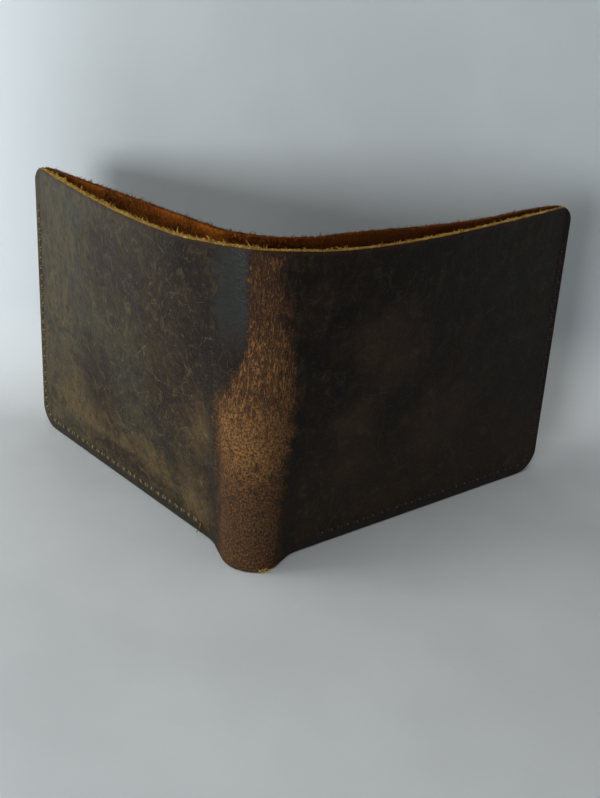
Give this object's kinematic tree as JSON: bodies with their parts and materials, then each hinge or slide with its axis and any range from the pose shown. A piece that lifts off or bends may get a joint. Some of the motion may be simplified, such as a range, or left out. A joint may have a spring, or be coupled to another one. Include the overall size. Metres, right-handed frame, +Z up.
{
  "type": "bifold wallet",
  "caption": "Bifold wallet of thick oiled leather, standing open, with a bill compartment and stepped card pockets that fold shut at a rounded spine.",
  "frame": {"origin": "middle of the wallet's bounding box in plan, on the surface that the wallet stands on, as it stands half open", "axes": "+Z up along the spine; +X from the left half to the right half; the spine points towards -Y and the two halves open towards +Y; mirrored about X = 0"},
  "size_m": [0.1728, 0.0844, 0.09],
  "materials": {
    "cover": "waxed pull-up leather, dark brown, rubbed tan on the spine",
    "lining": "rust brown suede, the flesh side of the leather",
    "pocket": "waxed dark brown leather",
    "thread": "dark brown waxed thread"
  },
  "bodies": {
    "left_half": {"cover_left": "cover", "lining_left": "lining", "upper_pocket_left": "pocket", "middle_pocket_left": "pocket", "front_pocket_left": "pocket", "edge_stitching_left": "thread", "pocket_stitching_left": "thread", "upper_hem_stitching_left": "thread", "middle_hem_stitching_left": "thread"},
    "spine": {"cover_spine": "cover", "lining_spine": "lining"},
    "right_half": {"cover_right": "cover", "lining_right": "lining", "upper_pocket_right": "pocket", "middle_pocket_right": "pocket", "front_pocket_right": "pocket", "edge_stitching_right": "thread", "pocket_stitching_right": "thread", "upper_hem_stitching_right": "thread", "middle_hem_stitching_right": "thread"}
  },
  "joints": [
    {"name": "left_fold", "type": "hinge", "parent": "left_half", "child": "spine", "pos_m": [-0.00862, -0.03416, 0], "axis": [0, 0, 1], "range_deg": [-41.4, 47.6]},
    {"name": "right_fold", "type": "hinge", "parent": "spine", "child": "right_half", "pos_m": [0.00862, -0.03416, 0], "axis": [0, 0, 1], "range_deg": [-41.4, 47.6]}
  ],
  "couplings": [
    {"joint": "right_fold", "follows": "left_fold", "ratio": 1}
  ]
}
